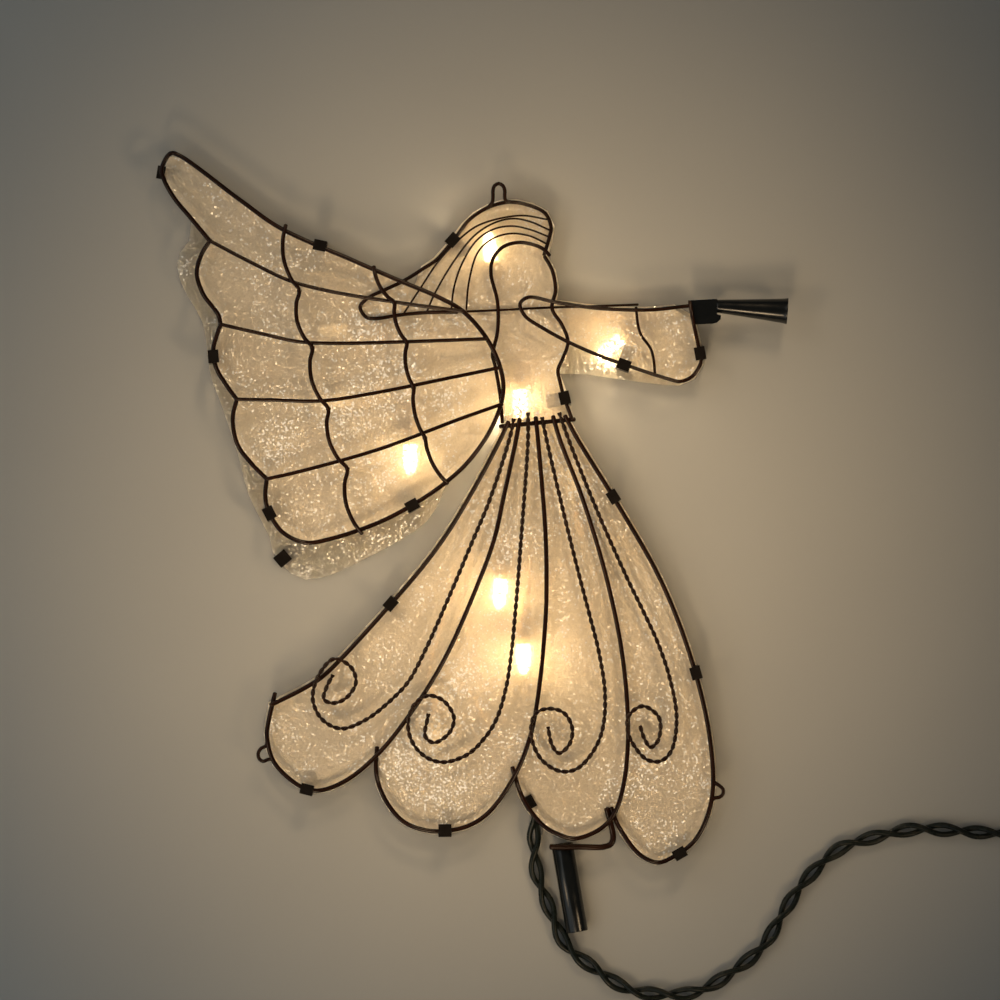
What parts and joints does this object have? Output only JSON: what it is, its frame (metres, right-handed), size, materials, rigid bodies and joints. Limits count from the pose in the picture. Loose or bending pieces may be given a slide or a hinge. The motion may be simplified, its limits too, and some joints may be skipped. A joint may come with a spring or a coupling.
{
  "type": "lighted angel tree topper",
  "caption": "Flat wire-frame angel with glitter film, push-in lamps, a horn, scrolled skirt, a socket tube for the tree's leader and a twisted lead with a fused plug.",
  "frame": {"origin": "under the middle of the topper's box, without its lead, on the table that it lies on", "axes": "+Z out of the front, +Y towards the head, +X to the horn's side"},
  "size_m": [0.4589, 0.3397, 0.019],
  "materials": {
    "wire": "dark bronze enamel, satin",
    "film": "frosted glitter film",
    "clip": "matt dark plastic",
    "black_metal": "satin black paint",
    "cable": "dark green cable plastic",
    "lamp": "clear warm lamp glass",
    "blade": "bright"
  },
  "bodies": {
    "topper": {"wing_outline_wire": "wire", "wing_rib_grid": "wire", "hair_frame": "wire", "shoulder_wire": "wire", "face_back_wire": "wire", "face_front_wire": "wire", "sleeve_frame": "wire", "horn_block": "black_metal", "horn": "black_metal", "waist_bar": "wire", "skirt_left_wire": "wire", "skirt_fold_1": "wire", "skirt_fold_2": "wire", "skirt_fold_3": "wire", "skirt_right_wire": "wire", "scroll_1": "wire", "scroll_2": "wire", "scroll_3": "wire", "scroll_4": "wire", "socket_bracket": "wire", "socket_tube": "black_metal", "film_clip_01": "clip", "film_clip_02": "clip", "film_clip_03": "clip", "film_clip_04": "clip", "film_clip_05": "clip", "film_clip_06": "clip", "film_clip_07": "clip", "film_clip_08": "clip", "film_clip_09": "clip", "film_clip_10": "clip", "film_clip_11": "clip", "film_clip_12": "clip", "film_clip_13": "clip", "film_clip_14": "clip", "film_clip_15": "clip", "film_clip_16": "clip", "film_clip_17": "clip", "wing_front_film": "film", "wing_back_film": "film", "body_front_film": "film", "body_back_film": "film", "light_string": "cable", "cord_lead": "cable", "cord_coil": "cable", "coil_tie": "clip", "plug_body": "cable", "plug_blade_1": "blade", "plug_blade_2": "blade"},
    "lamp_01": {"bulb_01": "lamp"},
    "lamp_02": {"bulb_02": "lamp"},
    "lamp_03": {"bulb_03": "lamp"},
    "lamp_04": {"bulb_04": "lamp"},
    "lamp_05": {"bulb_05": "lamp"},
    "lamp_06": {"bulb_06": "lamp"},
    "lamp_07": {"bulb_07": "lamp"},
    "lamp_08": {"bulb_08": "lamp"},
    "lamp_09": {"bulb_09": "lamp"},
    "lamp_10": {"bulb_10": "lamp"},
    "fuse_door": {"plug_fuse_door": "cable"}
  },
  "joints": [
    {"name": "lamp_01_pull", "type": "slide", "parent": "topper", "child": "lamp_01", "axis": [-0.1045, 0.9945, 0], "range_m": [0, 0.007]},
    {"name": "lamp_02_pull", "type": "slide", "parent": "topper", "child": "lamp_02", "axis": [-0.8192, -0.5736, 0], "range_m": [0, 0.007]},
    {"name": "lamp_03_pull", "type": "slide", "parent": "topper", "child": "lamp_03", "axis": [-1, 0, 0], "range_m": [0, 0.007]},
    {"name": "lamp_04_pull", "type": "slide", "parent": "topper", "child": "lamp_04", "axis": [-0.9848, -0.1736, 0], "range_m": [0, 0.007]},
    {"name": "lamp_05_pull", "type": "slide", "parent": "topper", "child": "lamp_05", "axis": [0, -1, 0], "range_m": [0, 0.007]},
    {"name": "lamp_06_pull", "type": "slide", "parent": "topper", "child": "lamp_06", "axis": [0, -1, 0], "range_m": [0, 0.007]},
    {"name": "lamp_07_pull", "type": "slide", "parent": "topper", "child": "lamp_07", "axis": [-0.1736, 0.9848, 0], "range_m": [0, 0.007]},
    {"name": "lamp_08_pull", "type": "slide", "parent": "topper", "child": "lamp_08", "axis": [-0.0872, -0.9962, 0], "range_m": [0, 0.007]},
    {"name": "lamp_09_pull", "type": "slide", "parent": "topper", "child": "lamp_09", "axis": [0, -1, 0], "range_m": [0, 0.007]},
    {"name": "lamp_10_pull", "type": "slide", "parent": "topper", "child": "lamp_10", "axis": [0.1736, -0.9848, 0], "range_m": [0, 0.007]},
    {"name": "fuse_door_slide", "type": "slide", "parent": "topper", "child": "fuse_door", "axis": [1, 0, 0], "range_m": [0, 0.009]}
  ]
}
